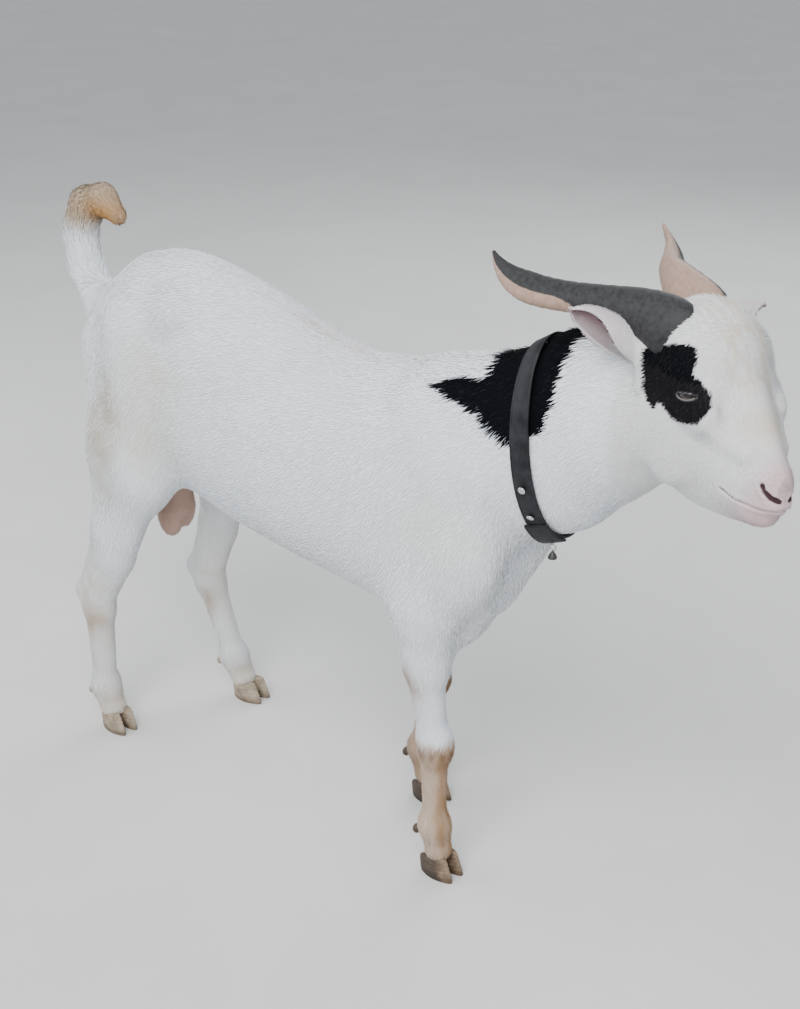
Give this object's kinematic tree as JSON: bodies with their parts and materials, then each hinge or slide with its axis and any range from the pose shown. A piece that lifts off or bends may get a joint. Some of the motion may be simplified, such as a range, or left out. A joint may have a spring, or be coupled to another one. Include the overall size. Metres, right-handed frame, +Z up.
{
  "type": "goat",
  "caption": "Standing short-haired white billy goat with black patches, swept-back horns, tubular ears, a raised hooked tail and a black studded collar.",
  "frame": {"origin": "on the floor, under the middle of the object's length and width", "axes": "+X to the animal's front, along its trunk; +Y to the animal's left; +Z up"},
  "size_m": [1.158, 0.3016, 0.851],
  "materials": {
    "white_coat": "short flat white hair on skin",
    "tan_coat": "short tan hair on skin",
    "skin": "bare skin with fine down",
    "eye": "wet and glossy",
    "horn": "grey-black horn with fine lengthwise grooves",
    "hoof": "worn dull horn",
    "strap": "worn black leather",
    "steel": "dull nickel plate",
    "charm": "dark chipped enamel"
  },
  "bodies": {
    "root": {"trunk": "white_coat", "neck": "white_coat", "head": "white_coat", "tail": "tan_coat", "scrotum": "skin", "horn_right": "horn", "ear_right": "white_coat", "eye_right": "eye", "horn_left": "horn", "ear_left": "white_coat", "eye_left": "eye", "fore_right_forearm": "white_coat", "fore_right_cannon": "tan_coat", "fore_right_claw_outer": "hoof", "fore_right_dewclaw_outer": "hoof", "fore_right_claw_inner": "hoof", "fore_right_dewclaw_inner": "hoof", "fore_left_forearm": "white_coat", "fore_left_cannon": "tan_coat", "fore_left_claw_inner": "hoof", "fore_left_dewclaw_inner": "hoof", "fore_left_claw_outer": "hoof", "fore_left_dewclaw_outer": "hoof", "hind_right_thigh": "white_coat", "hind_right_cannon": "white_coat", "hind_right_claw_outer": "hoof", "hind_right_dewclaw_outer": "hoof", "hind_right_claw_inner": "hoof", "hind_right_dewclaw_inner": "hoof", "hind_left_thigh": "white_coat", "hind_left_cannon": "white_coat", "hind_left_claw_inner": "hoof", "hind_left_dewclaw_inner": "hoof", "hind_left_claw_outer": "hoof", "hind_left_dewclaw_outer": "hoof", "collar_strap": "strap", "collar_lap": "strap", "collar_stud_1": "steel", "collar_stud_2": "steel", "collar_ring": "steel", "collar_bell": "charm"}
  },
  "joints": []
}
